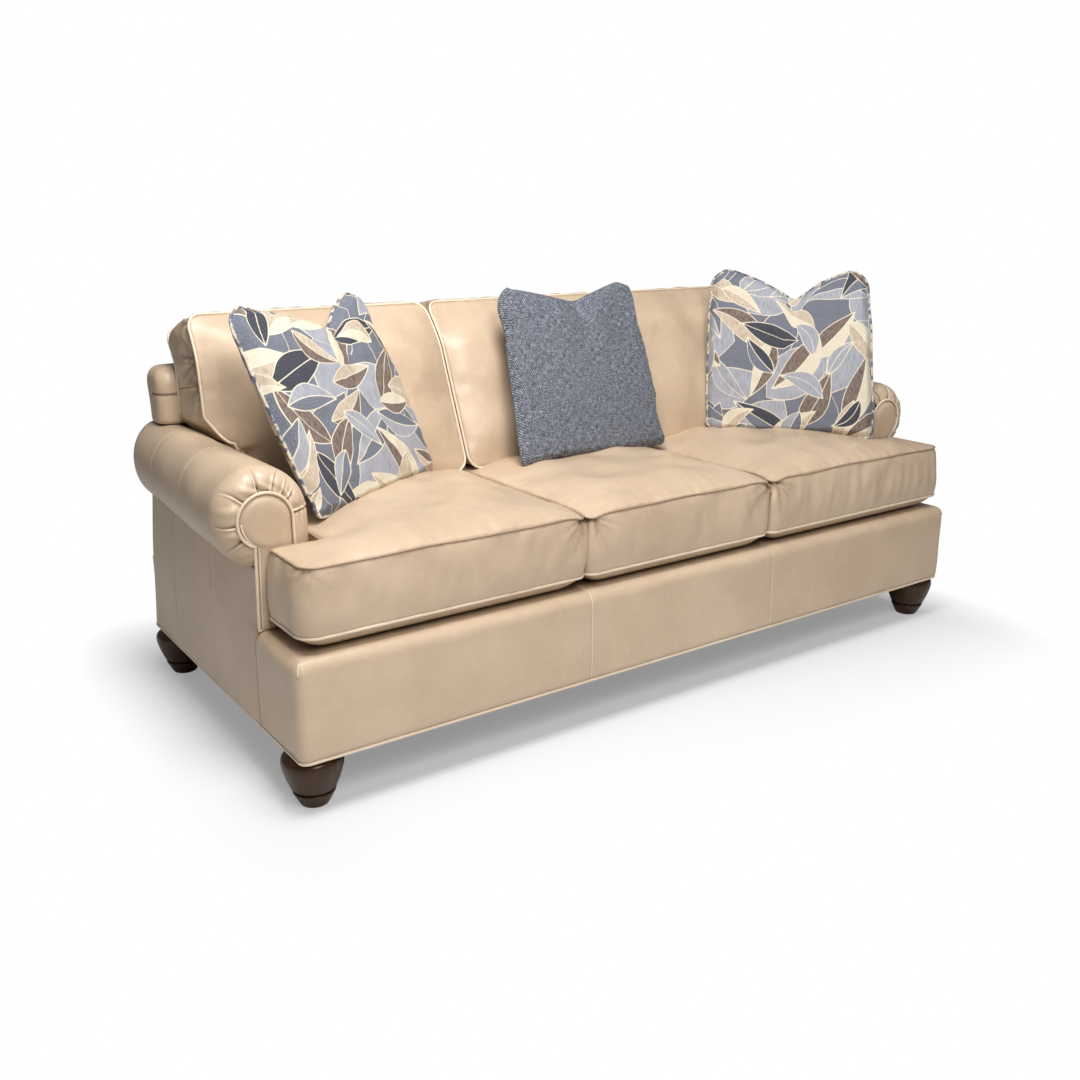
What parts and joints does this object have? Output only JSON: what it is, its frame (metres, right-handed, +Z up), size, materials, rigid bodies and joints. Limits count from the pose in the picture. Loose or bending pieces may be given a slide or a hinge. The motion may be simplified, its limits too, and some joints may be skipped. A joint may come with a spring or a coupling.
{
  "type": "leather sofa",
  "caption": "Sofa in smooth leather with rolled arms, loose seat and back cushions, scatter pillows and turned wooden feet.",
  "frame": {"origin": "on the floor under the middle of the sofa's bounding box", "axes": "+X across the seat, to the right as seen from in front; +Y towards the back; +Z up"},
  "size_m": [2.2236, 1, 1.0106],
  "materials": {
    "leather": "smooth semi-gloss",
    "leather_panel": "smooth semi-gloss",
    "foot_wood": "dark polished lacquer",
    "frame_wood": "bare sawn",
    "spring_steel": "drawn wire",
    "deck_cloth": "matt",
    "dust_cloth": "matt non-woven",
    "foam": "matt",
    "blue_weave": "slubby weave",
    "leaf_print": "woven leaf pattern"
  },
  "bodies": {
    "frame": {"arm_front_board_left": "frame_wood", "arm_front_board_right": "frame_wood", "arm_front_panel_left": "leather_panel", "arm_front_panel_right": "leather_panel", "arm_nose_left": "leather", "arm_nose_right": "leather", "arm_rear_board_left": "frame_wood", "arm_rear_board_right": "frame_wood", "arm_roll_left": "leather", "arm_roll_right": "leather", "arm_top_rail_left": "frame_wood", "arm_top_rail_right": "frame_wood", "back_top_cover": "leather", "back_top_rail": "frame_wood", "back_upright_left": "frame_wood", "back_upright_centre": "frame_wood", "back_upright_right": "frame_wood", "base_welt": "leather", "centre_rail": "frame_wood", "corner_block_front_left": "frame_wood", "corner_block_front_right": "frame_wood", "corner_block_rear_left": "frame_wood", "corner_block_rear_right": "frame_wood", "dust_cover": "dust_cloth", "foot_front_left": "foot_wood", "foot_front_right": "foot_wood", "foot_rear_left": "foot_wood", "foot_rear_right": "foot_wood", "front_rail": "frame_wood", "front_rail_cover": "leather", "inside_back": "leather", "outside_arm_left": "leather", "outside_arm_right": "leather", "outside_back": "leather", "rear_rail": "frame_wood", "seat_deck": "deck_cloth", "side_rail_left": "frame_wood", "side_rail_right": "frame_wood", "spring_left_1": "spring_steel", "spring_left_2": "spring_steel", "spring_centre_1": "spring_steel", "spring_centre_2": "spring_steel", "spring_right_1": "spring_steel", "spring_right_2": "spring_steel", "spring_rail": "frame_wood"},
    "seat_left": {"seat_cushion_left_cover": "leather", "seat_cushion_left_fill": "foam"},
    "back_left": {"back_cushion_left_cover": "leather", "back_cushion_left_fill": "foam"},
    "pillow_left": {"pillow_left": "leaf_print"},
    "seat_centre": {"seat_cushion_centre_cover": "leather", "seat_cushion_centre_fill": "foam"},
    "back_centre": {"back_cushion_centre_cover": "leather", "back_cushion_centre_fill": "foam"},
    "pillow_centre": {"pillow_centre": "blue_weave"},
    "seat_right": {"seat_cushion_right_cover": "leather", "seat_cushion_right_fill": "foam"},
    "back_right": {"back_cushion_right_cover": "leather", "back_cushion_right_fill": "foam"},
    "pillow_right": {"pillow_right": "leaf_print"}
  },
  "joints": [
    {"name": "seat_left_slide", "type": "slide", "parent": "frame", "child": "seat_left", "axis": [0, -1, 0], "range_m": [0, 0.2]},
    {"name": "back_left_lift", "type": "slide", "parent": "seat_left", "child": "back_left", "axis": [0, 0, 1], "range_m": [0, 0.2]},
    {"name": "pillow_left_lift", "type": "slide", "parent": "back_left", "child": "pillow_left", "axis": [0, 0, 1], "range_m": [0, 0.15]},
    {"name": "seat_centre_slide", "type": "slide", "parent": "frame", "child": "seat_centre", "axis": [0, -1, 0], "range_m": [0, 0.2]},
    {"name": "back_centre_lift", "type": "slide", "parent": "seat_centre", "child": "back_centre", "axis": [0, 0, 1], "range_m": [0, 0.2]},
    {"name": "pillow_centre_lift", "type": "slide", "parent": "back_centre", "child": "pillow_centre", "axis": [0, 0, 1], "range_m": [0, 0.15]},
    {"name": "seat_right_slide", "type": "slide", "parent": "frame", "child": "seat_right", "axis": [0, -1, 0], "range_m": [0, 0.2]},
    {"name": "back_right_lift", "type": "slide", "parent": "seat_right", "child": "back_right", "axis": [0, 0, 1], "range_m": [0, 0.2]},
    {"name": "pillow_right_lift", "type": "slide", "parent": "back_right", "child": "pillow_right", "axis": [0, 0, 1], "range_m": [0, 0.15]}
  ]
}
